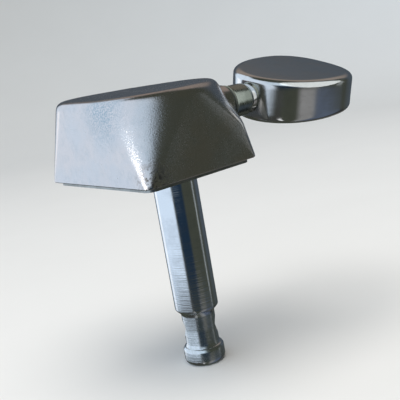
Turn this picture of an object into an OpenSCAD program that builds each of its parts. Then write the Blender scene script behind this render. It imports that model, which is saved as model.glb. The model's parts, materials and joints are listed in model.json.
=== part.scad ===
// Sealed machine head for a guitar: a worm and wheel in a cast housing, a string post and a metal button.
// The post axis is Z and the mounting face is the plane z = 0. The housing is above it and the post below.
// The worm shaft lies along X, beside the post axis, and carries the button at its +X end.

/* [String post] */
// Diameter of the post barrel
post_d = 6.35; // [6.2:0.05:6.35]
// Length of the barrel below the mounting face
barrel_len = 20.8; // [16:0.2:26]
// Diameter of the waist that the string winds on
waist_d = 4.9; // [4.6:0.1:5.4]
// Length of the waist
waist_len = 5.5; // [4.4:0.1:8]
// Diameter of the end flange
flange_d = 6.0; // [5.6:0.1:6]
// Thickness of the end flange
flange_t = 2.5; // [1.4:0.1:3]
// Diameter of the cross hole for the string
string_hole_d = 2.0; // [1.2:0.1:2.4]
// Angle of the string hole about the post axis, in degrees
string_hole_angle = -36; // [-180:1:180]

/* [Housing] */
// Distance from the post axis to the back face, away from the button
back_x = 11.8; // [11.8:0.1:13]
// Distance from the post axis to the front face, on the button side
front_x = 6.7; // [6.7:0.1:7]
// Distance from the post axis to the worm side
near_y = 10.5; // [10.5:0.1:12]
// Distance from the post axis to the far side
far_y = 13.1; // [13:0.1:15]
// Height of the housing above the mounting face
housing_h = 11.7; // [11.6:0.1:12.5]
// Thickness of the housing wall
wall = 1.1; // [1:0.05:1.2]
// Thickness of the base plate
plate_t = 1.6; // [1.4:0.1:1.8]
// How far the base plate stands proud of the housing rim
plate_proud = 0.5; // [0.3:0.1:0.7]

/* [Gears] */
// Gear module
gear_m = 0.52; // [0.5:0.01:0.54]
// Number of teeth on the wheel, which is the turns ratio
wheel_teeth = 15; // [14:1:15]
// Distance between the post axis and the worm axis
shaft_off = 6.0; // [5.9:0.05:6.1]
// Height of the worm axis above the mounting face
shaft_z = 7.95; // [7.8:0.05:8]
// Width of the wheel rim
wheel_w = 3.0; // [2.6:0.1:3]

/* [Button] */
// Width of the button, across the shaft
button_w = 16.0; // [15:0.5:20]
// Length of the button, along the shaft
button_len = 17.2; // [16.2:0.1:19]
// Thickness of the button at the shaft end
button_t = 6.5; // [6:0.1:7.5]
// Thickness of the button at its outer end
button_tip_t = 5.1; // [4.9:0.1:6]
// Turn of the button about the shaft at rest, in degrees
button_turn = 16; // [0:1:60]

/* [Hidden] */
$fn = 96;
eps = 0.01;
run_gap = 0.025;
face_gap = 0.02;
washer_gap = 0.04;
seal_gap = 0.03;
seat_gap = 0.02;

worm_pitch_r = shaft_off - gear_m * wheel_teeth / 2;
worm_core_r = worm_pitch_r - 1.25 * gear_m;
worm_tip_r = worm_pitch_r + gear_m;
wheel_pitch_r = gear_m * wheel_teeth / 2;
wheel_root_r = wheel_pitch_r - 1.3 * gear_m;
wheel_tip_r = wheel_pitch_r + 0.95 * gear_m;
lead = PI * gear_m;
lead_angle = atan(lead / (2 * PI * worm_pitch_r));
worm_x0 = -3.7;
worm_x1 = 1.9;
thread_phase = -90;

post_r = post_d / 2;
post_journal_r = post_r - 0.2;
shoulder_z = 0.05;
plate_inset = 0.7;
gasket_t = 0.3;
ledge_z = plate_t + gasket_t;
rim_z = plate_proud;
ceiling_z = housing_h - 0.95;

bush_r = 4.2;
bush_flange_r = 4.7;
bush_flange_t = 0.8;
seal_z = 0.12;
seal_h = 0.64;
bush_top = 4.0;
washer_t = 0.3;
wheel_seat_z = bush_top + washer_t + face_gap;
wheel_z0 = shaft_z - wheel_w / 2;
wheel_z1 = shaft_z + wheel_w / 2;
hub_r = 2.95;
seat_side = 3.4;
gear_washer_t = 0.25;
gear_screw_r = 1.0;
screw_slip = 0.02;

journal_r = 1.6;
tail_r = 1.3;
tail_end = -8.85;
rear_x = -9.0;
rear_bush_r = 1.98;
front_bush_r = 2.03;
bore_fit = 0.02;
seal_x = 3.1;
seal_t = 0.35;
bush_x0 = seal_x + seal_t + 0.05;
front_face = 5.6;
ring_r = 2.5;
ring_t = 0.45;
wave_t = 0.3;
nylon_t = 0.25;
wave_r = 2.2;
nylon_r = 2.42;
slip_gap = 0.06;
collar_r = 2.25;
collar_x0 = front_face + ring_t + wave_t + nylon_t + 3 * face_gap;
collar_x1 = 10.0;
hub_gap = 0.3;
button_x0 = collar_x1 + hub_gap;
button_x1 = button_x0 + button_len;
drive_end = 19;
drive_flat = 1.2;
button_screw_r = 1.0;
head_seat_x = button_x1 - 2.9;
lock_t = 0.35;

plate_x0 = -back_x + plate_inset;
plate_x1 = front_x - plate_inset;
plate_y0 = -near_y + plate_inset;
plate_y1 = far_y - plate_inset;
screw_inset = 1.75;
screw_r = 0.8;
screw_tip_z = 4.2;
screw_points = [
    [plate_x0 + screw_inset, plate_y0 + screw_inset],
    [plate_x0 + screw_inset, plate_y1 - screw_inset],
    [plate_x1 - screw_inset, plate_y1 - screw_inset],
    [plate_x1 - screw_inset, plate_y0 + screw_inset]
];
pin_r = 1.0;
pin_shank_r = 1.3;
pin_head_t = 0.5;
pin_lead = 0.25;
pin_point = [-2.6, 9.6];
pin_drop = 2.0;

// Puts a shape drawn about the Z axis on the worm axis, pointing along +X from x = 0.
module on_shaft(x = 0) {
    translate([x, -shaft_off, shaft_z])
        rotate([0, 90, 0])
            children();
}

// A flat ring about Z.
module ring(outer, inner, height) {
    difference() {
        cylinder(r = outer, h = height);
        translate([0, 0, -eps])
            cylinder(r = inner, h = height + 2 * eps);
    }
}

// A disc whose upper rim is rounded by a quarter circle.
module rounded_disc(radius, fillet, z_top) {
    translate([0, 0, z_top])
        rotate_extrude($fn = 64)
            polygon(concat(
                [[0, -fillet - 0.1], [radius, -fillet - 0.1]],
                [for (a = [0 : 18 : 90]) [radius - fillet + fillet * cos(a), -fillet + fillet * sin(a)]],
                [[0, 0]]
            ));
}

// The housing form: a sharp rectangle at the base that turns into round corners at the top.
module housing_form(inset, z_base, z_top) {
    back_r = 9.3 - inset;
    front_r = 7.3 - inset;
    far_r = 5.8 - inset;
    lean = 0.3 + inset;
    front_lean = 1.3 + inset;
    soft = max(0.3, 1.1 - inset);
    front_soft = max(0.3, 3.8 - inset);
    shoulder_r = 2.0;
    waist_z = 5.5;
    hull() {
        translate([-back_x + inset, -near_y + inset, z_base])
            cube([back_x + front_x - 2 * inset, near_y + far_y - 2 * inset, 0.4]);
        translate([-back_x + lean + back_r, -near_y + lean + back_r, 0])
            rounded_disc(back_r, soft, z_top);
        translate([front_x - front_lean - front_r, -near_y + lean + front_r, 0])
            rounded_disc(front_r, front_soft, z_top);
        translate([-back_x + lean + far_r, far_y - lean - far_r, 0])
            rounded_disc(far_r, soft, z_top);
        translate([front_x - front_lean - far_r, far_y - lean - far_r, 0])
            rounded_disc(far_r, front_soft, z_top);
        for (y = [-near_y + lean + shoulder_r, far_y - lean - shoulder_r])
            translate([front_x - 0.3 - inset - shoulder_r, y, waist_z - 0.2])
                cylinder(r = shoulder_r, h = 0.2);
    }
}

// The outline of the base plate, grown or shrunk by a margin.
module plate_outline(margin, corner = 1.2) {
    r = corner + margin;
    cx = (plate_x0 + plate_x1) / 2;
    cy = (plate_y0 + plate_y1) / 2;
    w = plate_x1 - plate_x0 + 2 * margin;
    d = plate_y1 - plate_y0 + 2 * margin;
    translate([cx, cy]) {
        square([w - 2 * r, d], center = true);
        square([w, d - 2 * r], center = true);
        for (sx = [-1, 1], sy = [-1, 1])
            translate([sx * (w / 2 - r), sy * (d / 2 - r)])
                circle(r = r);
    }
}

module housing() {
    bearing_boss_r = 3.0;
    screw_boss_r = 1.7;
    boss_x = 3.5;
    color([0.66, 0.68, 0.70])
        difference() {
            union() {
                difference() {
                    housing_form(0, rim_z, housing_h);
                    difference() {
                        housing_form(wall, rim_z - 1, ceiling_z);
                        translate([-50, -50, -50])
                            cube([100, 100, 50 + ledge_z]);
                    }
                }
                intersection() {
                    housing_form(0.5, rim_z, housing_h - 0.4);
                    union() {
                        on_shaft(-back_x)
                            cylinder(r = bearing_boss_r, h = back_x + worm_x0 - 0.3);
                        on_shaft(seal_x - 0.2)
                            cylinder(r = bearing_boss_r, h = 6);
                        for (p = screw_points)
                            translate([p[0], p[1], ledge_z])
                                cylinder(r = screw_boss_r, h = screw_tip_z - ledge_z + 0.8);
                    }
                }
                on_shaft(boss_x)
                    cylinder(r = ring_r + 0.05, h = front_face - boss_x);
            }
            translate([0, 0, -1])
                linear_extrude(1 + ledge_z)
                    plate_outline(0.05);
            on_shaft(seal_x)
                cylinder(r = front_bush_r + bore_fit, h = 6);
            on_shaft(seal_x - 1)
                cylinder(r = journal_r + 0.1, h = 6);
            on_shaft(front_face)
                cylinder(r = ring_r + 0.1, h = 6);
            on_shaft(worm_x0 - 0.35)
                cylinder(r = worm_tip_r + 0.12, h = worm_x1 - worm_x0 + 0.45);
            on_shaft(rear_x - 0.05)
                cylinder(r = rear_bush_r + bore_fit, h = 6);
            for (p = screw_points)
                translate([p[0], p[1], 0])
                    cylinder(r = screw_r, h = screw_tip_z + 0.3);
            cylinder(r = wheel_tip_r + 0.25, h = ceiling_z);
        }
}

module base_plate() {
    color([0.30, 0.30, 0.30])
        difference() {
            linear_extrude(plate_t)
                plate_outline(0);
            translate([0, 0, -1])
                cylinder(r = bush_r, h = plate_t + 2);
            for (p = screw_points)
                translate([p[0], p[1], 0]) {
                    translate([0, 0, -1])
                        cylinder(r = screw_r + 0.1, h = plate_t + 2);
                    translate([0, 0, -eps])
                        cylinder(r1 = 1.5 + eps, r2 = screw_r, h = 0.7 + eps);
                }
            translate([pin_point[0], pin_point[1], -1])
                cylinder(r = pin_shank_r, h = plate_t + 2);
        }
}

// Four countersunk screws that hold the base plate to the housing.
module base_screws() {
    color([0.45, 0.45, 0.46])
        for (p = screw_points)
            translate([p[0], p[1], 0])
                difference() {
                    union() {
                        translate([0, 0, 0.05])
                            cylinder(r1 = 1.42, r2 = screw_r - 0.03, h = 0.66);
                        translate([0, 0, 0.3])
                            cylinder(r = screw_r - 0.03, h = screw_tip_z - 0.3);
                    }
                    translate([-0.18, -2, 0])
                        cube([0.36, 4, 0.35]);
                }
}

module gasket() {
    color([0.12, 0.12, 0.12])
        translate([0, 0, plate_t])
            difference() {
                linear_extrude(gasket_t)
                    plate_outline(-0.02);
                translate([0, 0, -1])
                    linear_extrude(gasket_t + 2)
                        plate_outline(-wall + plate_inset - 0.75, 2.6);
                for (p = screw_points)
                    translate([p[0], p[1], -1])
                        cylinder(r = screw_r + 0.1, h = 3);
            }
}

module locating_pin() {
    color([0.6, 0.6, 0.62])
        translate([pin_point[0], pin_point[1], -pin_drop]) {
            cylinder(r1 = pin_r - pin_lead, r2 = pin_r, h = pin_lead);
            translate([0, 0, pin_lead])
                cylinder(r = pin_r, h = pin_drop - pin_lead + eps);
            translate([0, 0, pin_drop])
                cylinder(r = pin_shank_r, h = plate_t);
            translate([0, 0, pin_drop + plate_t])
                cylinder(r = pin_shank_r + 0.2, h = pin_head_t);
        }
}

// Flanged bush that the post barrel turns in.
module post_bush() {
    color([0.72, 0.55, 0.25])
        difference() {
            union() {
                translate([0, 0, 0.1])
                    cylinder(r = bush_r, h = bush_top - 0.1);
                translate([0, 0, plate_t])
                    cylinder(r = bush_flange_r, h = bush_flange_t);
            }
            translate([0, 0, -1])
                cylinder(r = post_journal_r + run_gap, h = bush_top + 2);
            cylinder(r = post_r + 0.55, h = seal_z + seal_h + 0.04);
        }
}

// Soft ring round the barrel, in the recess at the lower end of the bush.
module post_seal() {
    color([0.10, 0.10, 0.10])
        translate([0, 0, seal_z])
            ring(post_r + 0.5, post_journal_r + seal_gap, seal_h);
}

module string_post() {
    neck_z = -barrel_len;
    flange_z = neck_z - waist_len;
    color([0.80, 0.82, 0.85])
        difference() {
            union() {
                rotate_extrude()
                    polygon([
                        [0, wheel_seat_z],
                        [post_journal_r - 0.1, wheel_seat_z],
                        [post_journal_r, wheel_seat_z - 0.1],
                        [post_journal_r, shoulder_z],
                        [post_r, shoulder_z],
                        [post_r, neck_z + 0.4],
                        [post_r - 0.4, neck_z],
                        [waist_d / 2 + 0.1, neck_z],
                        [waist_d / 2, neck_z - 0.35],
                        [waist_d / 2, flange_z + 0.35],
                        [waist_d / 2 + 0.15, flange_z + 0.05],
                        [flange_d / 2 - 0.3, flange_z],
                        [flange_d / 2, flange_z - 0.3],
                        [flange_d / 2, flange_z - flange_t + 0.55],
                        [flange_d / 2 - 0.55, flange_z - flange_t],
                        [0, flange_z - flange_t]
                    ]);
                translate([-seat_side / 2, -seat_side / 2, wheel_seat_z - 0.5])
                    cube([seat_side, seat_side, wheel_z1 - 0.1 - wheel_seat_z + 0.5]);
            }
            translate([0, 0, wheel_seat_z])
                cylinder(r = gear_screw_r, h = 10);
            translate([0, 0, neck_z - waist_len / 2])
                rotate([0, 90, string_hole_angle])
                    cylinder(r = string_hole_d / 2, h = 20, center = true);
        }
}

module thrust_washer() {
    color([0.85, 0.84, 0.78])
        translate([0, 0, bush_top])
            ring(bush_r, post_journal_r + washer_gap, washer_t);
}

// Half thickness of a wheel tooth at a radius.
function tooth_half(r) = gear_m * PI / 4 - 0.085 - max(0, r - wheel_pitch_r) * tan(20);

module worm_wheel() {
    color([0.78, 0.62, 0.30])
        difference() {
            union() {
                translate([0, 0, wheel_z0])
                    cylinder(r = wheel_root_r, h = wheel_w);
                translate([0, 0, wheel_seat_z])
                    cylinder(r = hub_r, h = wheel_z0 - wheel_seat_z + eps);
                intersection() {
                    translate([0, 0, wheel_z0])
                        cylinder(r = wheel_tip_r, h = wheel_w);
                    for (i = [0 : wheel_teeth - 1])
                        rotate([0, 0, (i + 0.5) * 360 / wheel_teeth - 90])
                            translate([0, 0, shaft_z])
                                rotate([-lead_angle, 0, 0])
                                    wheel_tooth();
                }
            }
            translate([-seat_side / 2 - seat_gap, -seat_side / 2 - seat_gap, 0])
                cube([seat_side + 2 * seat_gap, seat_side + 2 * seat_gap, 20]);
        }
}

// One tooth, pointing along +X and running along Z.
module wheel_tooth() {
    r0 = wheel_root_r - 0.5;
    r1 = wheel_tip_r + 0.2;
    translate([0, 0, -wheel_w])
        linear_extrude(2 * wheel_w)
            polygon([
                [r0, -tooth_half(r0)],
                [wheel_pitch_r, -tooth_half(r0)],
                [r1, -tooth_half(r1)],
                [r1, tooth_half(r1)],
                [wheel_pitch_r, tooth_half(r0)],
                [r0, tooth_half(r0)]
            ]);
}

module gear_washer() {
    color([0.55, 0.55, 0.57])
        translate([0, 0, wheel_z1])
            ring(2.6, gear_screw_r + 0.1, gear_washer_t);
}

module gear_screw() {
    head_z = wheel_z1 + gear_washer_t;
    color([0.50, 0.50, 0.52])
        difference() {
            union() {
                translate([0, 0, wheel_seat_z + 1])
                    cylinder(r = gear_screw_r - screw_slip, h = head_z - wheel_seat_z - 1 + eps);
                translate([0, 0, head_z])
                    cylinder(r = 2.2, h = 0.9);
            }
            translate([-0.3, -3, head_z + 0.45])
                cube([0.6, 6, 1]);
        }
}

// Points of one thread section, in the plane of the worm axis at an angle about it.
function thread_section(a, fade) =
    let (
        x = lead * a / 360,
        tip = worm_core_r + (worm_tip_r - worm_core_r) * fade,
        root_half = 0.5 * (lead / 2 - 0.10) + 1.25 * gear_m * tan(20),
        tip_half = root_half - (tip - worm_core_r) * tan(20),
        root = worm_core_r - 0.2
    )
    [for (p = [[-root_half, root], [-tip_half, tip], [tip_half, tip], [root_half, root]])
        [x + p[0], -p[1] * sin(a + thread_phase), p[1] * cos(a + thread_phase)]];

module worm_thread() {
    steps_per_turn = 24;
    a0 = (worm_x0 + lead * 0.45) / lead * 360;
    a1 = (worm_x1 - lead * 0.45) / lead * 360;
    n = floor((a1 - a0) / 360 * steps_per_turn);
    rings = [for (i = [0 : n])
        let (a = a0 + i * 360 / steps_per_turn, k = min(i, n - i))
            thread_section(a, min(1, 0.25 + k / 6))];
    points = [for (r = rings) each r];
    sides = [for (i = [0 : n - 1], j = [0 : 3])
        each [
            [i * 4 + j, i * 4 + (j + 1) % 4, (i + 1) * 4 + (j + 1) % 4],
            [i * 4 + j, (i + 1) * 4 + (j + 1) % 4, (i + 1) * 4 + j]
        ]];
    translate([0, -shaft_off, shaft_z])
        polyhedron(points, concat([[3, 2, 1, 0]], sides, [[n * 4, n * 4 + 1, n * 4 + 2, n * 4 + 3]]));
}

module worm_shaft() {
    color([0.62, 0.63, 0.65])
        difference() {
            union() {
                on_shaft(worm_x0)
                    cylinder(r = worm_core_r, h = worm_x1 - worm_x0);
                worm_thread();
                on_shaft(tail_end)
                    cylinder(r = tail_r, h = worm_x0 - tail_end + eps);
                on_shaft(worm_x1 - eps)
                    cylinder(r = journal_r, h = collar_x1 - worm_x1);
                intersection() {
                    on_shaft(collar_x1 - 1)
                        cylinder(r = journal_r, h = drive_end - collar_x1 + 1);
                    turned()
                        on_shaft(collar_x1 - 1.5)
                            translate([-drive_flat, -3, 0])
                                cube([2 * drive_flat, 6, drive_end]);
                }
            }
            on_shaft(drive_end - 5)
                cylinder(r = button_screw_r, h = 6);
        }
}

// Turns what rides on the shaft by the button's angle at rest.
module turned() {
    translate([0, -shaft_off, shaft_z])
        rotate([button_turn, 0, 0])
            translate([0, shaft_off, -shaft_z])
                children();
}

module front_bush() {
    color([0.40, 0.42, 0.38])
        difference() {
            union() {
                on_shaft(bush_x0)
                    cylinder(r = front_bush_r, h = front_face - bush_x0);
                on_shaft(front_face)
                    cylinder(r = ring_r, h = ring_t);
            }
            on_shaft(0)
                cylinder(r = journal_r + run_gap, h = 12);
        }
}

module rear_bush() {
    color([0.72, 0.55, 0.25])
        on_shaft(rear_x)
            ring(rear_bush_r, tail_r + run_gap, worm_x0 - rear_x - 0.1);
}

// Soft ring against the inner end of the front bush.
module shaft_seal() {
    color([0.10, 0.10, 0.10])
        on_shaft(seal_x + face_gap)
            ring(front_bush_r - 0.03, journal_r + seal_gap, seal_t);
}

module wave_washer() {
    color([0.50, 0.52, 0.50])
        on_shaft(front_face + ring_t + face_gap)
            ring(wave_r, journal_r + slip_gap, wave_t);
}

module nylon_washer() {
    color([0.60, 0.62, 0.58])
        on_shaft(front_face + ring_t + wave_t + 2 * face_gap)
            ring(nylon_r, journal_r + slip_gap, nylon_t);
}

module button_collar() {
    length = collar_x1 - collar_x0;
    color([0.62, 0.64, 0.60])
        on_shaft(collar_x0)
            difference() {
                rotate_extrude()
                    polygon([
                        [0, 0], [collar_r - 0.15, 0], [collar_r, 0.15],
                        [collar_r, length - 0.3], [collar_r - 0.3, length], [0, length]
                    ]);
                translate([0, 0, -1])
                    cylinder(r = journal_r + seat_gap, h = length + 2);
            }
}

// Plan outline of the button: an egg whose blunt side faces the tip. X is along the shaft.
function egg(shrink) =
    let (half_w = button_w / 2 - shrink, mid = button_len * 0.58, outer = button_len - mid)
    [for (a = [0 : 5 : 355])
        let (
            c = cos(a),
            s = sin(a),
            power = c < 0 ? 1 : 0.78,
            reach = (c < 0 ? mid : outer) - shrink
        )
        [mid + reach * sign(c) * pow(abs(c), power), half_w * sign(s) * pow(abs(s), power)]];

module button_slab(shrink, t0, t1) {
    end = button_len + 1;
    translate([button_x0, -shaft_off, shaft_z])
        intersection() {
            translate([0, 0, -10])
                linear_extrude(20)
                    polygon(egg(shrink));
            rotate([90, 0, 0])
                translate([0, 0, -20])
                    linear_extrude(40)
                        polygon([[-1, -t0 / 2], [-1, t0 / 2], [end, t1 / 2], [end, -t1 / 2]]);
        }
}

module button() {
    color([0.72, 0.74, 0.76])
        turned()
            difference() {
                union() {
                    hull() {
                        button_slab(0, button_t - 1.1, button_tip_t - 1.1);
                        button_slab(0.18, button_t - 0.45, button_tip_t - 0.45);
                        button_slab(0.6, button_t, button_tip_t);
                    }
                    on_shaft(collar_x1)
                        cylinder(r = 1.95, h = 3);
                }
                intersection() {
                    on_shaft(collar_x1 - 1)
                        cylinder(r = journal_r + seat_gap, h = drive_end - collar_x1 + 1.1);
                    on_shaft(collar_x1 - 1)
                        translate([-drive_flat - seat_gap, -3, 0])
                            cube([2 * (drive_flat + seat_gap), 6, drive_end]);
                }
                on_shaft(drive_end)
                    cylinder(r = button_screw_r + 0.15, h = 20);
                on_shaft(head_seat_x)
                    cylinder(r = 2.0, h = 20);
            }
}

module lock_washer() {
    color([0.5, 0.5, 0.52])
        on_shaft(head_seat_x)
            ring(1.9, button_screw_r + 0.1, lock_t);
}

module button_screw() {
    shank_x = drive_end - 4.2;
    color([0.70, 0.71, 0.73])
        turned()
            difference() {
                union() {
                    on_shaft(shank_x)
                        cylinder(r = button_screw_r - screw_slip, h = head_seat_x + lock_t - shank_x + eps);
                    on_shaft(head_seat_x + lock_t)
                        cylinder(r = 1.85, h = 1.3);
                }
                on_shaft(head_seat_x + lock_t + 0.7) {
                    translate([-0.25, -1.3, 0])
                        cube([0.5, 2.6, 2]);
                    translate([-1.3, -0.25, 0])
                        cube([2.6, 0.5, 2]);
                }
            }
}

housing();
base_plate();
base_screws();
gasket();
locating_pin();
post_bush();
post_seal();
string_post();
thrust_washer();
worm_wheel();
gear_washer();
gear_screw();
worm_shaft();
front_bush();
rear_bush();
shaft_seal();
wave_washer();
nylon_washer();
button_collar();
button();
lock_washer();
button_screw();
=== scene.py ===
"""Looks of a sealed guitar machine head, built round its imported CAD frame."""
import json
import math

import bmesh
import bpy
from mathutils import Matrix, Vector


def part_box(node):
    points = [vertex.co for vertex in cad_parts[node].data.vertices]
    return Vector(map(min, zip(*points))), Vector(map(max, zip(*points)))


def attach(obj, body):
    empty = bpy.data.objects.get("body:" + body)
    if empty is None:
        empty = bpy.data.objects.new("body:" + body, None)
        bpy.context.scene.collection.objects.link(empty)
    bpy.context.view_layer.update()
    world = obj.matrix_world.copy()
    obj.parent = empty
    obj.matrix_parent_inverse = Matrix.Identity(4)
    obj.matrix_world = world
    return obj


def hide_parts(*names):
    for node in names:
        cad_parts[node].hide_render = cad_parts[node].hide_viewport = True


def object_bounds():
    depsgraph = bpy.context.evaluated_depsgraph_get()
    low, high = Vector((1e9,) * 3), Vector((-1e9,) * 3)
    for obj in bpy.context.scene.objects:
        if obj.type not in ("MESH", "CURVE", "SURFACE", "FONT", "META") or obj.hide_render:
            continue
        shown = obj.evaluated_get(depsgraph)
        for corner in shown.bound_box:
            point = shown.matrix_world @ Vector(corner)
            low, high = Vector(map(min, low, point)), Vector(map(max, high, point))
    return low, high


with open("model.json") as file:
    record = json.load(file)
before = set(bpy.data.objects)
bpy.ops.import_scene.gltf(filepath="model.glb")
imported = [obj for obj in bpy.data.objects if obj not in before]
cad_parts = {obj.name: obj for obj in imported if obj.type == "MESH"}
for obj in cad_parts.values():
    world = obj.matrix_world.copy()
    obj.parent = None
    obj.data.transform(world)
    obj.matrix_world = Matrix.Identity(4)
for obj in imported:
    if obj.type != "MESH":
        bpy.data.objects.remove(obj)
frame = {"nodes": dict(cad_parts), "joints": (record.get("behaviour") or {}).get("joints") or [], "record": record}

cad_low, cad_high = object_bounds()

MM = 0.001

# ---------------------------------------------------------------- sizes, in millimetres


def box_mm(node):
    """Lowest and highest corner of a CAD node, in millimetres."""
    low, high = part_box(node)
    return Vector(low) / MM, Vector(high) / MM


HOUSING_LOW, HOUSING_HIGH = box_mm("housing")
PLATE_LOW, PLATE_HIGH = box_mm("base_plate")
POST_LOW, POST_HIGH = box_mm("string_post")
COLLAR_LOW, COLLAR_HIGH = box_mm("button_collar")
BUSH_LOW, BUSH_HIGH = box_mm("front_bush")
WAVE_LOW, WAVE_HIGH = box_mm("wave_washer")
NYLON_LOW, NYLON_HIGH = box_mm("nylon_washer")
SCREW_LOW, SCREW_HIGH = box_mm("button_screw")
PIN_LOW, PIN_HIGH = box_mm("locating_pin")

SHAFT = next(j for j in frame["joints"] if j["name"] == "button_spin")
SHAFT_Y = SHAFT["pos_m"][1] / MM
SHAFT_Z = SHAFT["pos_m"][2] / MM
BUTTON_TURN = math.radians(16)

# Where the front bush's flange meets the spot face on the housing, along the shaft
BUSH_FACE_X = BUSH_HIGH.x - 0.45

JOURNAL_R = 1.6
SLIP_GAP = 0.06
SEAT_GAP = 0.02

# The string post, from its end upwards
FLANGE_T = 2.5
FLANGE_R = 3.0
WAIST_LEN = 5.5
WAIST_R = 2.45
JOURNAL_STEP = 0.2
SHOULDER_Z = 0.05
WHEEL_SEAT_Z = 4.32
SEAT_SIDE = 3.4
STRING_HOLE_ANGLE = math.radians(-36)

# The button, whose length starts just past the collar
BUTTON_LEN = 17.2
BUTTON_T, BUTTON_TIP_T = 6.5, 5.1
BUTTON_W = 16.0
BUTTON_X0 = COLLAR_HIGH.x + 0.3
BEVEL_ACROSS, BEVEL_DEEP = 1.0, 0.85

# ---------------------------------------------------------------- mesh helpers


def new_object(name, verts, faces):
    """An object from millimetre points, with its faces turned outwards and smooth."""
    mesh = bpy.data.meshes.new(name)
    mesh.from_pydata([Vector(v) * MM for v in verts], [], faces)
    obj = bpy.data.objects.new(name, mesh)
    bpy.context.scene.collection.objects.link(obj)
    tidy_mesh(obj)
    return obj


def tidy_mesh(obj, sharp_degrees=38):
    """Merges doubled points, turns faces outwards and sets smooth shading with sharp edges."""
    work = bmesh.new()
    work.from_mesh(obj.data)
    bmesh.ops.remove_doubles(work, verts=work.verts, dist=2e-7)
    bmesh.ops.dissolve_degenerate(work, edges=work.edges, dist=1e-7)
    bmesh.ops.recalc_face_normals(work, faces=work.faces)
    work.to_mesh(obj.data)
    work.free()
    obj.data.shade_smooth()
    obj.data.set_sharp_from_angle(angle=math.radians(sharp_degrees))


def loft(name, rings, closed=False):
    """A skin over rings of equal length, where a ring of one point is a pole.

    With closed, the last ring joins the first.
    """
    verts = []
    starts = []
    for ring in rings:
        starts.append((len(verts), len(ring)))
        verts.extend(ring)
    faces = []
    pairs = list(zip(starts, starts[1:]))
    if closed:
        pairs.append((starts[-1], starts[0]))
    for (a, count_a), (b, count_b) in pairs:
        count = max(count_a, count_b)
        for i in range(count):
            j = (i + 1) % count
            if count_a == 1:
                faces.append((a, b + i, b + j))
            elif count_b == 1:
                faces.append((a + i, a + j, b))
            else:
                faces.append((a + i, a + j, b + j, b + i))
    return new_object(name, verts, faces)


def softened(points, radius, steps=4, closed=False):
    """A polyline whose corners are rounded by short curves."""
    count = len(points)
    result = []
    for i, point in enumerate(points):
        here = Vector(point)
        if not closed and i in (0, count - 1):
            result.append(tuple(here))
            continue
        before = Vector(points[i - 1])
        after = Vector(points[(i + 1) % count])
        reach = min(radius, (before - here).length * 0.45, (after - here).length * 0.45)
        start = here + (before - here).normalized() * reach
        end = here + (after - here).normalized() * reach
        for k in range(steps + 1):
            t = k / steps
            result.append(tuple(start * (1 - t) ** 2 + here * 2 * t * (1 - t) + end * t * t))
    return result


def lathe(name, profile, to_frame, segments=128, closed=False):
    """Turns a profile of (radius, height) points about an axis.

    to_frame places a point given as (x, y, height) in the CAD frame.
    """
    rings = []
    for radius, height in profile:
        if radius < 1e-6:
            rings.append([to_frame(0.0, 0.0, height)])
            continue
        angles = [2 * math.pi * k / segments for k in range(segments)]
        rings.append([to_frame(radius * math.cos(a), radius * math.sin(a), height) for a in angles])
    return loft(name, rings, closed)


def about_post(x, y, height):
    return (x, y, height)


def about_shaft(x, y, height):
    return (height, SHAFT_Y + x, SHAFT_Z + y)


def turned(point):
    """Turns a point given in the button's own frame (along the shaft, across, up) to its angle at rest."""
    x, y, z = point
    cos_t, sin_t = math.cos(BUTTON_TURN), math.sin(BUTTON_TURN)
    return (x, SHAFT_Y + y * cos_t - z * sin_t, SHAFT_Z + y * sin_t + z * cos_t)


def shaft_prism(name, outline, x0, x1):
    """A straight bar along the shaft with an outline of (across, up) points, at the button's angle."""
    near = [turned((x0, y, z)) for y, z in outline]
    far = [turned((x1, y, z)) for y, z in outline]
    return loft(name, [[turned((x0, 0, 0))], near, far, [turned((x1, 0, 0))]])


def circle(radius, segments=64, flat=None):
    """Points of a circle, cut off above and below where flat is given."""
    points = []
    for k in range(segments):
        a = 2 * math.pi * (k + 0.5) / segments
        z = radius * math.sin(a)
        if flat is not None:
            z = max(-flat, min(flat, z))
        points.append((radius * math.cos(a), z))
    return points


def cut(obj, cutter, operation="DIFFERENCE"):
    """Cuts or joins obj with a closed cutter, which is then removed."""
    modifier = obj.modifiers.new("cut", "BOOLEAN")
    modifier.operation = operation
    modifier.solver = "EXACT"
    modifier.object = cutter
    depsgraph = bpy.context.evaluated_depsgraph_get()
    made = bpy.data.meshes.new_from_object(obj.evaluated_get(depsgraph))
    obj.modifiers.clear()
    obj.data = made
    bpy.data.objects.remove(cutter)
    tidy_mesh(obj)


# ---------------------------------------------------------------- node helpers


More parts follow.
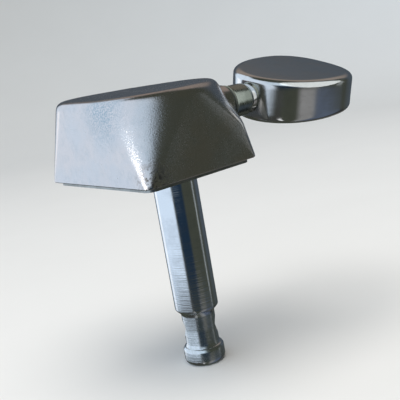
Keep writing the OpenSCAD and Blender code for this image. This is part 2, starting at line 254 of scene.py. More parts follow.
class Shader:
    """A small wrapper that adds nodes to a material and links them."""

    def __init__(self, name):
        self.material = bpy.data.materials.new(name)
        self.material.use_nodes = True
        self.tree = self.material.node_tree
        self.surface = self.tree.nodes["Principled BSDF"]
        self.coords = self.tree.nodes.new("ShaderNodeTexCoord").outputs["Object"]

    def link(self, source, target):
        self.tree.links.new(source, target)

    def feed(self, socket, value):
        """Links a socket, or sets it where value is a number or a colour."""
        if isinstance(value, bpy.types.NodeSocket):
            self.link(value, socket)
        else:
            socket.default_value = value

    def noise(self, scale, detail=3.0, rough=0.55, vector=None, warp=0.0):
        node = self.tree.nodes.new("ShaderNodeTexNoise")
        node.inputs["Scale"].default_value = scale
        node.inputs["Detail"].default_value = detail
        node.inputs["Roughness"].default_value = rough
        node.inputs["Distortion"].default_value = warp
        self.link(vector or self.coords, node.inputs["Vector"])
        return node.outputs["Fac"]

    def stretched(self, scale, turn=(0, 0, 0)):
        """Object coordinates scaled differently along each axis, for streaks."""
        node = self.tree.nodes.new("ShaderNodeMapping")
        node.inputs["Scale"].default_value = scale
        node.inputs["Rotation"].default_value = turn
        self.link(self.coords, node.inputs["Vector"])
        return node.outputs["Vector"]

    def band(self, value, low, high, out_low=0.0, out_high=1.0):
        """Maps a range smoothly onto another."""
        node = self.tree.nodes.new("ShaderNodeMapRange")
        node.interpolation_type = "SMOOTHSTEP"
        self.feed(node.inputs["Value"], value)
        for key, number in (("From Min", low), ("From Max", high), ("To Min", out_low), ("To Max", out_high)):
            node.inputs[key].default_value = number
        return node.outputs["Result"]

    def math(self, operation, a, b=0.0):
        node = self.tree.nodes.new("ShaderNodeMath")
        node.operation = operation
        self.feed(node.inputs[0], a)
        self.feed(node.inputs[1], b)
        return node.outputs["Value"]

    def mix(self, factor, a, b):
        node = self.tree.nodes.new("ShaderNodeMix")
        node.data_type = "RGBA"
        self.feed(node.inputs["Factor"], factor)
        for socket, value in ((node.inputs[6], a), (node.inputs[7], b)):
            self.feed(socket, value if isinstance(value, bpy.types.NodeSocket) else (*value, 1.0))
        return node.outputs[2]

    def near(self, point_mm, inner, outer):
        """1 close to a point, falling to 0 at the outer radius, in millimetres."""
        node = self.tree.nodes.new("ShaderNodeVectorMath")
        node.operation = "DISTANCE"
        self.link(self.coords, node.inputs[0])
        node.inputs[1].default_value = [c * MM for c in point_mm]
        return self.band(node.outputs["Value"], inner * MM, outer * MM, 1.0, 0.0)

    def bump(self, height, depth_mm, strength=1.0):
        node = self.tree.nodes.new("ShaderNodeBump")
        node.inputs["Distance"].default_value = depth_mm * MM
        node.inputs["Strength"].default_value = strength
        self.link(height, node.inputs["Height"])
        self.link(node.outputs["Normal"], self.surface.inputs["Normal"])

    def finish(self, colour, roughness, metallic=1.0):
        self.feed(self.surface.inputs["Base Color"], colour)
        self.feed(self.surface.inputs["Roughness"], roughness)
        self.surface.inputs["Metallic"].default_value = metallic
        return self.material


def housing_chrome():
    """Satin worn chrome: soft blotches, a pitted speckle, bluish patina, and rust at the near corner."""
    s = Shader("housing_chrome")
    blotch = s.noise(170, 3)
    mottle = s.noise(900, 5, 0.65)
    speckle = s.noise(5200, 3, 0.7)
    pits = s.band(speckle, 0.60, 0.70)
    corner = (HOUSING_LOW.x + 1.2, HOUSING_LOW.y, HOUSING_LOW.z + 0.8)
    patina_at = (HOUSING_LOW.x, -2.5, HOUSING_HIGH.z - 2.0)
    patina = s.math("MULTIPLY", s.near(patina_at, 0.5, 5.5), s.band(s.noise(5200, 4, 0.8), 0.45, 0.56))
    rust = s.math("MULTIPLY", s.near(corner, 0.3, 3.4), s.band(s.noise(1700, 4, 0.7), 0.50, 0.58))
    colour = s.mix(s.band(blotch, 0.35, 0.65), (0.84, 0.76, 0.73), (0.77, 0.74, 0.74))
    colour = s.mix(s.band(mottle, 0.45, 0.70, 0.0, 0.35), colour, (0.62, 0.63, 0.64))
    colour = s.mix(s.math("MULTIPLY", patina, 0.9), colour, (0.40, 0.50, 0.56))
    colour = s.mix(s.math("MULTIPLY", pits, 0.35), colour, (0.40, 0.40, 0.38))
    colour = s.mix(s.math("MULTIPLY", rust, 0.85), colour, (0.07, 0.055, 0.04))
    rough = s.band(blotch, 0.3, 0.7, 0.17, 0.25)
    rough = s.math("ADD", rough, s.math("MULTIPLY", pits, 0.10))
    rough = s.math("ADD", rough, s.math("MULTIPLY", rust, 0.35))
    rough_at = (HOUSING_LOW.x + 3.0, HOUSING_LOW.y + 1.5, 6.0)
    grain = s.math("ADD", s.math("MULTIPLY", s.near(rough_at, 2.0, 8.0), 1.6), 0.5)
    height = s.math("ADD", s.math("MULTIPLY", speckle, grain), s.math("MULTIPLY", mottle, 0.8))
    s.bump(height, 0.014)
    return s.finish(colour, rough)


def button_chrome():
    """Polished chrome with fine streaks along the shaft and a little haze."""
    s = Shader("button_chrome")
    haze = s.noise(260, 3)
    streak = s.noise(1.0, 4, 0.7, s.stretched((260, 2600, 2600), (BUTTON_TURN, 0, 0)))
    marks = s.noise(3800, 3, 0.7)
    colour = s.mix(s.band(haze, 0.35, 0.7), (0.88, 0.87, 0.86), (0.78, 0.76, 0.74))
    colour = s.mix(s.band(streak, 0.55, 0.75, 0.0, 0.4), colour, (0.60, 0.57, 0.54))
    colour = s.mix(s.band(marks, 0.66, 0.74, 0.0, 0.5), colour, (0.45, 0.44, 0.42))
    rough = s.band(haze, 0.3, 0.7, 0.07, 0.15)
    rough = s.math("ADD", rough, s.band(streak, 0.5, 0.75, 0.0, 0.08))
    s.bump(s.math("ADD", s.math("MULTIPLY", streak, 0.5), haze), 0.008)
    return s.finish(colour, rough)


def post_chrome():
    """Polished chrome with turned rings round the post, darker and greener in patches at the waist and the flange.
    """
    s = Shader("post_chrome")
    rings = s.noise(1.0, 2, 0.8, s.stretched((90, 90, 5200)))
    wear = s.noise(420, 4, 0.6)
    spots = s.noise(3000, 4, 0.7)
    node = s.tree.nodes.new("ShaderNodeSeparateXYZ")
    s.link(s.coords, node.inputs[0])
    waist_top = (POST_LOW.z + (FLANGE_T + WAIST_LEN)) * MM
    low = s.band(node.outputs["Z"], waist_top - 0.4 * MM, waist_top + 0.8 * MM, 1.0, 0.0)
    # patches of darker greenish grey, only below the top of the waist
    lower_tone = s.math("MULTIPLY", low, s.band(s.noise(2300, 5, 0.75), 0.36, 0.64))
    colour = s.mix(s.band(wear, 0.4, 0.7), (0.90, 0.91, 0.93), (0.80, 0.81, 0.83))
    colour = s.mix(s.band(rings, 0.55, 0.8, 0.0, 0.25), colour, (0.60, 0.61, 0.63))
    colour = s.mix(s.math("MULTIPLY", lower_tone, 0.5), colour, (0.60, 0.63, 0.60))
    colour = s.mix(s.band(spots, 0.66, 0.74, 0.0, 0.6), colour, (0.30, 0.29, 0.27))
    rough = s.band(wear, 0.3, 0.7, 0.09, 0.16)
    rough = s.math("ADD", rough, s.math("MULTIPLY", low, 0.10))
    s.bump(s.math("ADD", rings, s.math("MULTIPLY", spots, 0.2)), 0.015)
    return s.finish(colour, rough)


def worn_metal(name, colour_a, colour_b, spot, rough_low, rough_high, depth=0.008, grain=(900, 900, 900)):
    """A plain metal with two tones, dark spots and a fine grain."""
    s = Shader(name)
    tone = s.noise(380, 4, 0.6)
    fine = s.noise(1.0, 4, 0.7, s.stretched(grain))
    spots = s.noise(2400, 4, 0.7)
    colour = s.mix(s.band(tone, 0.35, 0.68), colour_a, colour_b)
    colour = s.mix(s.band(spots, 0.58, 0.70, 0.0, 0.6), colour, spot)
    rough = s.band(fine, 0.3, 0.7, rough_low, rough_high)
    s.bump(s.math("ADD", fine, s.math("MULTIPLY", spots, 0.4)), depth)
    return s.finish(colour, rough)


def dull_surface(name, colour_a, colour_b, rough_low, rough_high, depth=0.01):
    """Rubber or plastic: two close tones and a fine pebbled grain."""
    s = Shader(name)
    tone = s.noise(500, 4, 0.6)
    grain = s.noise(5000, 3, 0.6)
    colour = s.mix(s.band(tone, 0.35, 0.68), colour_a, colour_b)
    s.bump(grain, depth)
    return s.finish(colour, s.band(grain, 0.3, 0.7, rough_low, rough_high), metallic=0.0)


MATERIALS = {
    "housing_chrome": housing_chrome(),
    "button_chrome": button_chrome(),
    "post_chrome": post_chrome(),
    "collar_steel": worn_metal(
        "collar_steel", (0.40, 0.42, 0.37), (0.27, 0.29, 0.25), (0.08, 0.08, 0.06), 0.16, 0.30,
        0.010, (3500, 500, 500)),
    "plate_steel": worn_metal(
        "plate_steel", (0.50, 0.50, 0.48), (0.36, 0.36, 0.34), (0.08, 0.08, 0.06), 0.28, 0.44),
    "screw_steel": worn_metal(
        "screw_steel", (0.52, 0.52, 0.53), (0.42, 0.42, 0.42), (0.14, 0.13, 0.12), 0.20, 0.34),
    "gear_brass": worn_metal(
        "gear_brass", (0.72, 0.53, 0.22), (0.60, 0.42, 0.16), (0.22, 0.14, 0.06), 0.22, 0.38),
    "bush_bronze": worn_metal(
        "bush_bronze", (0.60, 0.40, 0.19), (0.46, 0.30, 0.14), (0.16, 0.10, 0.05), 0.30, 0.48),
    "worm_steel": worn_metal(
        "worm_steel", (0.50, 0.51, 0.52), (0.42, 0.43, 0.44), (0.16, 0.16, 0.16), 0.18, 0.30),
    "seal_rubber": dull_surface("seal_rubber", (0.020, 0.020, 0.020), (0.035, 0.035, 0.033), 0.55, 0.75),
    "washer_nylon": dull_surface("washer_nylon", (0.24, 0.25, 0.21), (0.17, 0.18, 0.15), 0.38, 0.55, 0.006),
}

# ---------------------------------------------------------------- pieces


def place(piece, body, slot, *nodes):
    """Gives a new piece its material and its body, and hides the CAD nodes that it stands for."""
    piece.data.materials.clear()
    piece.data.materials.append(MATERIALS[slot])
    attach(piece, body)
    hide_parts(*nodes)
    return piece


# The housing's form. Four values go round its corners: back near, front near, front far, back far.
FRONT_X = 6.7
WALL = 1.1
ROOF_T = 0.95
GASKET_T = 0.3
LEAN = 0.3
TOP_FRONT_LEAN = 1.3
SHOULDERS_Z = (5.3, 5.5)
SHOULDER_R = 2.0
TOP_RADII = (9.3, 7.3, 5.8, 5.8)
TOP_FILLETS = (1.1, 3.8, 3.8, 1.1)
LEAST_FILLET = 0.3
SLAB_H = 0.4
BASE_RADII = (1.25, 0.8, 0.8, 0.8)
RIM_RADII = (1.15, 0.7, 0.7, 0.7)
RIM_BEVEL = 0.12
INNER_R = 0.5
PLATE_CORNER_R = 1.25
PLATE_GAP = 0.05
TOP_MIDDLE = (-2.5, 1.3)

# How finely the housing's skin is divided: directions, steps up each outline, and the widest gap on a side
COLUMNS = 240
STATIONS = 56
SIDE_STEP = 1.2


def housing_slices(inset, slab_low, slab_top, z_top, corner_radii):
    """Level slices of the housing form, each a height and the discs (x, y, radius) that it spans."""
    x0, x1 = HOUSING_LOW.x + inset, FRONT_X - inset
    y0, y1 = HOUSING_LOW.y + inset, HOUSING_HIGH.y - inset

    def in_corners(radii, lean, front_lean):
        back, front = x0 + lean, x1 - front_lean
        near, far = y0 + lean, y1 - lean
        a, b, c, d = radii
        return [(back + a, near + a, a), (front - b, near + b, b),
                (front - c, far - c, c), (back + d, far - d, d)]

    slab = in_corners(corner_radii, 0, 0)
    shoulders = [d for d in in_corners([SHOULDER_R] * 4, LEAN, LEAN) if d[0] > 0]
    slices = [(slab_low, slab), (slab_top, slab), *((z, shoulders) for z in SHOULDERS_Z)]
    tops = in_corners([r - inset for r in TOP_RADII], LEAN, TOP_FRONT_LEAN)
    fillets = [max(LEAST_FILLET, f - inset) for f in TOP_FILLETS]
    depths = {f * (1 - math.sin(math.radians(a))) for f in fillets for a in range(0, 91, 6)}
    for depth in sorted(depths, reverse=True):
        discs = []
        for (x, y, r), f in zip(tops, fillets):
            if depth <= f + 1e-9:
                across = math.sqrt(max(0.0, f * f - (f - depth) ** 2))
                discs.append((x, y, r - f + across))
        slices.append((z_top - depth, discs))
    return sorted(slices, key=lambda item: item[0])


def support(discs, out):
    """The furthest point of a slice in a direction."""
    x, y, r = max(discs, key=lambda d: d[0] * out.x + d[1] * out.y + d[2])
    return Vector((x + r * out.x, y + r * out.y))


def profile(slices, out):
    """The outline that the hull of the slices shows in one direction, from its foot to its top."""
    kept = []
    for z, discs in slices:
        flat = support(discs, out)
        point = (flat.dot(out), z, Vector((flat.x, flat.y, z)))
        while len(kept) > 1:
            (h0, z0, _), (h1, z1, _) = kept[-2], kept[-1]
            if (h1 - h0) * (point[1] - z0) >= (point[0] - h0) * (z1 - z0):
                break
            kept.pop()
        kept.append(point)
    return [point for _, _, point in kept]


def spaced(points, count):
    """The same polyline with evenly spaced points."""
    lengths = [0.0]
    for a, b in zip(points, points[1:]):
        lengths.append(lengths[-1] + (b - a).length)
    result = []
    k = 0
    for i in range(count):
        want = lengths[-1] * i / (count - 1)
        while k < len(points) - 2 and lengths[k + 1] < want:
            k += 1
        span = lengths[k + 1] - lengths[k]
        result.append(points[k].lerp(points[k + 1], min(1.0, (want - lengths[k]) / span) if span else 0.0))
    return result


def directions():
    """Compass directions, with one just before and one just after each side's own."""
    step = 2 * math.pi / COLUMNS
    nudge = 1e-4
    for k in range(COLUMNS):
        a = k * step
        if k % (COLUMNS // 4) == 0:
            yield Vector((math.cos(a - nudge), math.sin(a - nudge)))
            a += nudge
        yield Vector((math.cos(a), math.sin(a)))


def with_sides(columns, row):
    """Adds columns along the straight sides, spaced by the distance between neighbours at one row."""
    full = []
    for c, column in enumerate(columns):
        following = columns[(c + 1) % len(columns)]
        full.append(column)
        steps = max(1, round((following[row] - column[row]).length / SIDE_STEP))
        for k in range(1, steps):
            full.append([a.lerp(b, k / steps) for a, b in zip(column, following)])
    return full


def hull_columns(slices):
    """The hull of the slices as columns of points, each from the foot to the rim of the top."""
    columns = []
    for out in directions():
        chain = profile(slices, out)
        columns.append([chain[0], *spaced(chain[1:], STATIONS)])
    return with_sides(columns, 1)


def eased(columns, rounds, first=8):
    """Softens the creases between the hull's cones and flats, leaving the foot and the rim of the top."""
    last = len(columns[0]) - 1
    for _ in range(rounds):
        fresh = []
        for c, column in enumerate(columns):
            left, right = columns[c - 1], columns[(c + 1) % len(columns)]
            moved = list(column)
            for i in range(first, last):
                around = (column[i - 1] + column[i + 1] + left[i] + right[i]) / 4
                moved[i] = column[i].lerp(around, 0.5)
            fresh.append(moved)
        columns = fresh
    return columns


def make_housing():
    """One closed skin: down the inside, under the foot, up the outside and over the top.

    It then gets a boss, a spot face and a bore for the shaft.
    """
    low, high = HOUSING_LOW, HOUSING_HIGH
    ledge = PLATE_HIGH.z + GASKET_T
    ceiling = high.z - ROOF_T
    outer_slices = housing_slices(0, low.z + RIM_BEVEL, low.z + SLAB_H, high.z, BASE_RADII)
    outer = eased(hull_columns(outer_slices), 8)
    columns = len(outer)

    def rings_of(form):
        return [[column[i] for column in form] for i in range(len(form[0]))]

    def as_many(form):
        """The same form with the outer skin's number of columns."""
        return [form[round(c * len(form) / columns) % len(form)] for c in range(columns)]

    inner_slices = housing_slices(WALL, ledge, ledge + 0.1, ceiling, [INNER_R] * 4)
    inner = as_many(hull_columns(inner_slices))
    centre = Vector((*TOP_MIDDLE, high.z))
    inset = PLATE_LOW.x - low.x - PLATE_GAP
    recess = housing_slices(inset, low.z, ledge, high.z, [PLATE_CORNER_R] * 4)[0][1]
    rim = housing_slices(RIM_BEVEL, low.z, ledge, high.z, RIM_RADII)[0][1]

    def flat_ring(discs, z):
        """The outline of one slice at a height, with the outer skin's number of points."""
        ring = []
        for out in directions():
            point = support(discs, out)
            ring.append([Vector((point.x, point.y, z))])
        return [column[0] for column in as_many(with_sides(ring, 0))]

    outer_rings = rings_of(outer)
    inner_rings = rings_of(inner)
    cap = [[p.lerp(centre, k / 8) for p in outer_rings[-1]] for k in range(1, 8)]
    roof = Vector((centre.x, centre.y, ceiling))
    under = [flat_ring(recess, ledge), flat_ring(recess, low.z), flat_ring(rim, low.z)]
    piece = loft("housing_shell", [[roof], *reversed(inner_rings), *under, *outer_rings, *cap, [centre]])

    face = BUSH_FACE_X
    cut(piece, shaft_prism("boss", circle(2.55), face - 2.1, face + 0.3), "UNION")
    cut(piece, shaft_prism("spot_face", circle(2.6), face, face + 6))
    cut(piece, shaft_prism("bore", circle(2.05), face - 2.5, face + 1))
    place(piece, "casing", "housing_chrome", "housing")


def shaft_ring(name, low, high, inner, outer, soft):
    """A turned ring on the shaft with softened edges."""
    loop = [(inner, low), (outer, low), (outer, high), (inner, high)]
    return lathe(name, softened(loop, soft, closed=True), about_shaft, closed=True)


def make_shaft_rings():
    """The front bush, the two washers and the collar, from the housing outwards."""
    flange = (BUSH_HIGH.z - BUSH_LOW.z) / 2
    sleeve = flange - 0.47
    face = BUSH_FACE_X
    bore = JOURNAL_R + 0.025
    loop = [(bore, BUSH_LOW.x), (sleeve, BUSH_LOW.x), (sleeve, face), (flange, face),
            (flange, BUSH_HIGH.x), (bore, BUSH_HIGH.x)]
    bush = lathe("front_bush_ring", softened(loop, 0.14, closed=True), about_shaft, closed=True)
    place(bush, "casing", "collar_steel", "front_bush")

    for name, low, high, slot in (
        ("wave_ring", WAVE_LOW, WAVE_HIGH, "collar_steel"),
        ("nylon_ring", NYLON_LOW, NYLON_HIGH, "washer_nylon"),
    ):
        node = name.replace("_ring", "_washer")
        outer = (high.z - low.z) / 2
        piece = shaft_ring(name, low.x, high.x, JOURNAL_R + SLIP_GAP, outer, 0.08)
        place(piece, "button_shaft", slot, node)

    outer = (COLLAR_HIGH.z - COLLAR_LOW.z) / 2
    x0, x1 = COLLAR_LOW.x, COLLAR_HIGH.x
    bore = JOURNAL_R + SEAT_GAP
    loop = [(bore, x0), (outer - 0.1, x0), (outer, x0 + 0.25), (outer, x1 - 0.45),
            (outer - 0.28, x1 - 0.05), (outer - 0.5, x1), (bore, x1)]
    collar = lathe("collar_turned", softened(loop, 0.22, closed=True), about_shaft, closed=True)
    place(collar, "button_shaft", "collar_steel", "button_collar")


def make_post():
    """The post, turned with soft edges, with its cross hole and the square that carries the wheel."""
    r = (POST_HIGH.x - POST_LOW.x) / 2
    end = POST_LOW.z
    flange_z = end + FLANGE_T
    neck_z = flange_z + WAIST_LEN
    waist_r, flange_r, journal_r = WAIST_R, FLANGE_R, r - JOURNAL_STEP
    shoulder, seat = SHOULDER_Z, WHEEL_SEAT_Z
    profile = [
        (0, end), (flange_r - 0.5, end), (flange_r - 0.12, end + 0.3), (flange_r, end + 0.6),
        (flange_r, flange_z - 0.35), (flange_r - 0.25, flange_z), (waist_r + 0.12, flange_z + 0.06),
        (waist_r, flange_z + 0.5), (waist_r - 0.04, (flange_z + neck_z) / 2), (waist_r, neck_z - 0.5),
        (waist_r + 0.15, neck_z), (r - 0.4, neck_z), (r, neck_z + 0.4),
        (r, shoulder), (journal_r, shoulder), (journal_r, seat), (0, seat),
    ]
    post = lathe("post_turned", softened(profile, 0.16), about_post)
    square = SEAT_SIDE / 2
    corners = [(-square, -square), (square, -square), (square, square), (-square, square)]
    rings = [[(x, y, z) for x, y in corners] for z in (seat - 0.5, POST_HIGH.z)]
    stub = loft("stub", [[(0, 0, seat - 0.5)], *rings, [(0, 0, POST_HIGH.z)]])
    cut(post, stub, "UNION")
    bolt = lathe("bolt", [(0, seat), (1.0, seat), (1.0, 12), (0, 12)], about_post, 48)
    cut(post, bolt)
    angle = STRING_HOLE_ANGLE
    hole_z = (flange_z + neck_z) / 2
    along = Vector((math.cos(angle), math.sin(angle), 0))
    across = Vector((-along.y, along.x, 0))

    def through(x, y, height):
        return tuple(along * height + across * x + Vector((0, 0, hole_z + y)))

    flare = [(0, -4), (1.5, -4), (1.35, -2.45), (1.0, -2.0), (1.0, 2.0), (1.35, 2.45), (1.5, 4), (0, 4)]
    cut(post, lathe("hole", flare, through, 64))
    place(post, "post", "post_chrome", "string_post")


def egg(shrink, segments=192):
    """Plan outline of the button, blunter towards its outer end."""
    half_w = BUTTON_W / 2 - shrink
    middle = BUTTON_LEN * 0.58
    points = []
    for k in range(segments):
        a = 2 * math.pi * k / segments
        c, s = math.cos(a), math.sin(a)
        power = 1.0 if c < 0 else 0.78
        reach = (middle if c < 0 else BUTTON_LEN - middle) - shrink
        x = middle + reach * math.copysign(abs(c) ** power, c)
        points.append((BUTTON_X0 + x, half_w * math.copysign(abs(s) ** power, s)))
    return points


def half_thickness(x):
    share = (x - BUTTON_X0 + 1) / (BUTTON_LEN + 2)
    return (BUTTON_T + (BUTTON_TIP_T - BUTTON_T) * share) / 2


def make_button():
    """The oval body with bevelled rims, its hub, the drive hole and the recess for the screw."""
    soft, drop = BEVEL_ACROSS, BEVEL_DEEP
    middle = BUTTON_X0 + BUTTON_LEN * 0.5
    flat = egg(soft)

    def face(sign, share, ring):
        points = [(middle + (x - middle) * share, y * share) for x, y in ring]
        return [turned((x, y, sign * half_thickness(x))) for x, y in points]

    def bevel(sign, angle):
        ring = egg(soft * (1 - math.sin(angle)))
        return [turned((x, y, sign * (half_thickness(x) - drop * (1 - math.cos(angle))))) for x, y in ring]

    steps = 9
    angles = [math.pi / 2 * k / steps for k in range(1, steps + 1)]
    shares = [0.2, 0.4, 0.6, 0.8, 0.93, 0.98, 1.0]
    top = [face(1, share, flat) for share in shares] + [bevel(1, a) for a in angles]
    bottom = [face(-1, share, flat) for share in shares] + [bevel(-1, a) for a in angles]
    side = []
    for k in range(1, 8):
        level = 1 - 2 * k / 8
        side.append([turned((x, y, level * (half_thickness(x) - drop))) for x, y in egg(0)])
    first = [turned((middle, 0, half_thickness(middle)))]
    last = [turned((middle, 0, -half_thickness(middle)))]
    button = loft("button_body", [first, *top, *side, *reversed(bottom), last])

    tip = BUTTON_X0 + BUTTON_LEN
    drive_flat, drive_end = 1.22, 19.1
    cut(button, shaft_prism("hub", circle(1.95), COLLAR_HIGH.x, COLLAR_HIGH.x + 3), "UNION")
    drive = circle(JOURNAL_R + SEAT_GAP, 64, drive_flat)
    cut(button, shaft_prism("drive", drive, COLLAR_HIGH.x - 1, drive_end))
    cut(button, shaft_prism("screw_way", circle(1.15), 18, tip + 2))
    cut(button, shaft_prism("recess", circle(2.0), tip - 2.9, tip + 2))
    place(button, "button_shaft", "button_chrome", "button")


def make_button_screw():
    """Pan head with a cross recess, on a plain shank."""
    seat = SCREW_HIGH.x - 1.3
    head_r = (SCREW_HIGH.z - SCREW_LOW.z) / 2
    shank_r, crown = 0.98, 0.55
    profile = [(0, SCREW_LOW.x), (shank_r, SCREW_LOW.x), (shank_r, seat), (head_r, seat),
               (head_r, SCREW_HIGH.x - crown), (head_r - crown, SCREW_HIGH.x), (0, SCREW_HIGH.x)]
    screw = lathe("button_screw_head", softened(profile, 0.18), about_shaft, 96)
    long, thin = 1.2, 0.25
    for outline in (((-thin, -long), (thin, -long), (thin, long), (-thin, long)),
                    ((-long, -thin), (long, -thin), (long, thin), (-long, thin))):
        cut(screw, shaft_prism("slot", outline, SCREW_HIGH.x - 0.6, SCREW_HIGH.x + 1))
    place(screw, "button_shaft", "screw_steel", "button_screw")


def make_locating_pin():
    """The pin under the plate, with the wider shank and head that hold it in the casing."""
    x, y = (PIN_LOW.x + PIN_HIGH.x) / 2, (PIN_LOW.y + PIN_HIGH.y) / 2
    profile = [(0, PIN_LOW.z), (0.75, PIN_LOW.z), (1.0, PIN_LOW.z + 0.3), (1.0, 0), (1.3, 0), (1.3, 1.6),
               (1.5, 1.6), (1.5, PIN_HIGH.z), (0, PIN_HIGH.z)]
    pin = lathe("locating_pin_turned", softened(profile, 0.1), lambda a, b, z: (x + a, y + b, z), 64)
    place(pin, "casing", "screw_steel", "locating_pin")


make_housing()
make_shaft_rings()
make_post()
make_button()
make_button_screw()
make_locating_pin()

# CAD nodes that keep their own shape take the material of their slot in the record.
for entry in frame["record"]["subparts"]:
    cad_node = frame["nodes"][entry["node"]]
    cad_node.data.materials.clear()
    cad_node.data.materials.append(MATERIALS[entry["material_slot"]])

# ---------------------------------------------------------------- floor and backdrop


def make_sweep():
    """A pale round floor that turns up into a low wall on every side."""
    floor_z = cad_low.z / MM
    flat_r, bend, wall_h = 260.0, 170.0, 420.0
    profile = [(0, floor_z), (40, floor_z), (120, floor_z), (flat_r, floor_z)]
    for k in range(1, 13):
        a = math.pi / 2 * k / 12
        profile.append((flat_r + bend * math.sin(a), floor_z + bend * (1 - math.cos(a))))
    profile.append((flat_r + bend, floor_z + wall_h))
    sweep = lathe("sweep", profile, about_post, 96)
    s = Shader("sweep_paper")
    grain = s.noise(40, 3)
    s.finish(s.mix(grain, (0.80, 0.785, 0.76), (0.83, 0.815, 0.79)), 0.8, metallic=0.0)
    s.surface.inputs["Specular IOR Level"].default_value = 0.1
    sweep.data.materials.append(s.material)
    sweep.visible_glossy = False
    sweep.visible_diffuse = False
    sweep.visible_shadow = False


make_sweep()

# ---------------------------------------------------------------- light

AMBIENT = (0.050, 0.056, 0.044)
# compass centre, half width, lowest and highest angle, softness, colour
PANELS = [
    # far side: the housing's top and the button's top
    (45, 60, -20, 60, 12, (0.070, 0.088, 0.108)),
    (45, 55, 27, 62, 8, (0.265, 0.232, 0.208)),
    # low level: the post and the faces of the housing
    (238, 24, -24, 3, 6, (0.012, 0.026, 0.048)),
    (146, 62, -23, 66, 5, (0.68, 0.81, 0.96)),
    (219, 22, 8, 60, 13, (0.60, 0.74, 0.88)),
    (103, 8, -22, 4, 4, (1.05, 1.12, 1.20)),
    (326, 4, -22, 6, 1.5, (0.28, 0.31, 0.32)),
    # well below: the button's side
    (180, 40, -80, -24, 5, (0.045, 0.047, 0.044)),
    (216, 4, -60, -34, 3, (0.85, 0.88, 0.90)),
    (272, 17, -80, -27, 7, (0.24, 0.245, 0.25)),
    (312, 26, -80, -27, 7, (0.088, 0.112, 0.160)),
    (350, 12, -80, -27, 5, (0.022, 0.024, 0.027)),
    (18, 12, -80, -27, 5, (0.11, 0.11, 0.105)),
]


def make_studio():
    """Soft panels painted round the sky by compass direction and height, which the chrome mirrors."""
    world = bpy.data.worlds.new("studio")
    bpy.context.scene.world = world
    world.use_nodes = True
    tree = world.node_tree
    tree.nodes.clear()
    coords = tree.nodes.new("ShaderNodeTexCoord").outputs["Generated"]
    split = tree.nodes.new("ShaderNodeSeparateXYZ")
    tree.links.new(coords, split.inputs[0])

    def calc(operation, a, b=0.0):
        node = tree.nodes.new("ShaderNodeMath")
        node.operation = operation
        for socket, value in zip(node.inputs, (a, b)):
            if isinstance(value, bpy.types.NodeSocket):
                tree.links.new(value, socket)
            else:
                socket.default_value = value
        return node.outputs["Value"]

    compass = calc("ARCTAN2", split.outputs["Y"], split.outputs["X"])
    height = calc("ARCSINE", split.outputs["Z"])

    def window(value, low, high, soft):
        """1 between two angles, with soft edges."""
        parts = []
        for a, b in ((low - soft, low + soft), (high + soft, high - soft)):
            node = tree.nodes.new("ShaderNodeMapRange")
            node.interpolation_type = "SMOOTHSTEP"
            tree.links.new(value, node.inputs["Value"])
            node.inputs["From Min"].default_value = math.radians(a)
            node.inputs["From Max"].default_value = math.radians(b)
            parts.append(node.outputs["Result"])
        return calc("MULTIPLY", *parts)

    base = tree.nodes.new("ShaderNodeRGB")
    base.outputs[0].default_value = (*AMBIENT, 1.0)
    colour = base.outputs[0]
    for centre, half_width, low, high, soft, tint in PANELS:
        # the angle from the panel's centre, from -180 to 180 degrees
        offset = calc("WRAP", calc("SUBTRACT", compass, math.radians(centre)), math.pi)
        offset.node.inputs[2].default_value = -math.pi
        across = window(offset, -half_width, half_width, soft)
        mask = calc("MULTIPLY", across, window(height, low, high, soft))
        node = tree.nodes.new("ShaderNodeMix")
        node.data_type = "RGBA"
        tree.links.new(mask, node.inputs["Factor"])
        tree.links.new(colour, node.inputs[6])
        node.inputs[7].default_value = (*tint, 1.0)
        colour = node.outputs[2]
    background = tree.nodes.new("ShaderNodeBackground")
    output = tree.nodes.new("ShaderNodeOutputWorld")
    tree.links.new(colour, background.inputs["Color"])
    tree.links.new(background.outputs[0], output.inputs["Surface"])


make_studio()


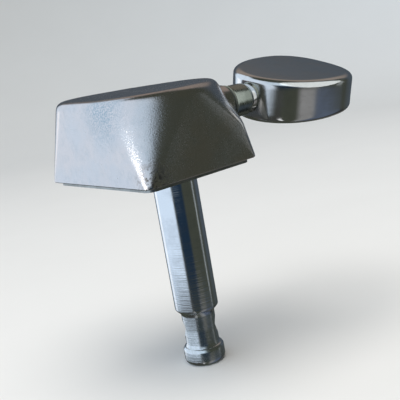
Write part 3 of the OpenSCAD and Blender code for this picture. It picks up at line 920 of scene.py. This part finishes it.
def add_card(name, position, aim, size, power, tint, only=()):
    """A round area light. It is mirrored only where pieces are named, and then lights nothing else."""
    data = bpy.data.lights.new(name, "AREA")
    data.shape = "DISK"
    data.size = size * MM
    data.energy = power
    data.color = tint
    lamp = bpy.data.objects.new(name, data)
    bpy.context.scene.collection.objects.link(lamp)
    lamp.location = Vector(position) * MM
    lamp.rotation_euler = (Vector(aim) * MM - lamp.location).to_track_quat("-Z", "Y").to_euler()
    lamp.visible_camera = False
    lamp.visible_glossy = bool(only)
    if only:
        group = bpy.data.collections.new(name + "_lights")
        for piece_name in only:
            group.objects.link(bpy.data.objects[piece_name])
        lamp.light_linking.receiver_collection = group


add_card("softbox_top", (-40, -60, 420), (0, 0, -10), 420, 2.0, (1.0, 0.98, 0.95))
add_card("bevel_card", (26, -60, 31), (17, -11, 10), 110, 0.024, (0.90, 0.97, 1.0),
         ["button_body", "collar_turned"])
add_card("corner_card", (-58, -9, 6), (-10, -8, 3), 20, 0.0075, (0.97, 1.0, 1.0), ["housing_shell"])

# ---------------------------------------------------------------- camera


def make_camera():
    """Stands near the back near corner of the housing, a little above it, rolled to the left."""
    azimuth, elevation, roll = math.radians(-127.97), math.radians(12.29), math.radians(-9.72)
    distance = 121.73
    target = Vector((10.95, 9.01, -8.0))
    back = Vector((math.cos(elevation) * math.cos(azimuth), math.cos(elevation) * math.sin(azimuth),
                   math.sin(elevation)))
    right = (-back).cross(Vector((0, 0, 1))).normalized()
    up = right.cross(-back)
    rolled_right = right * math.cos(roll) + up * math.sin(roll)
    rolled_up = up * math.cos(roll) - right * math.sin(roll)
    data = bpy.data.cameras.new("camera")
    data.sensor_width = 36
    data.lens = 68.4
    data.clip_start, data.clip_end = 0.005, 10
    camera = bpy.data.objects.new("camera", data)
    bpy.context.scene.collection.objects.link(camera)
    axes = Matrix((rolled_right, rolled_up, back)).transposed()
    camera.matrix_world = Matrix.Translation((target + back * distance) * MM) @ axes.to_4x4()
    bpy.context.scene.camera = camera


make_camera()
bpy.context.scene.view_settings.view_transform = "Standard"
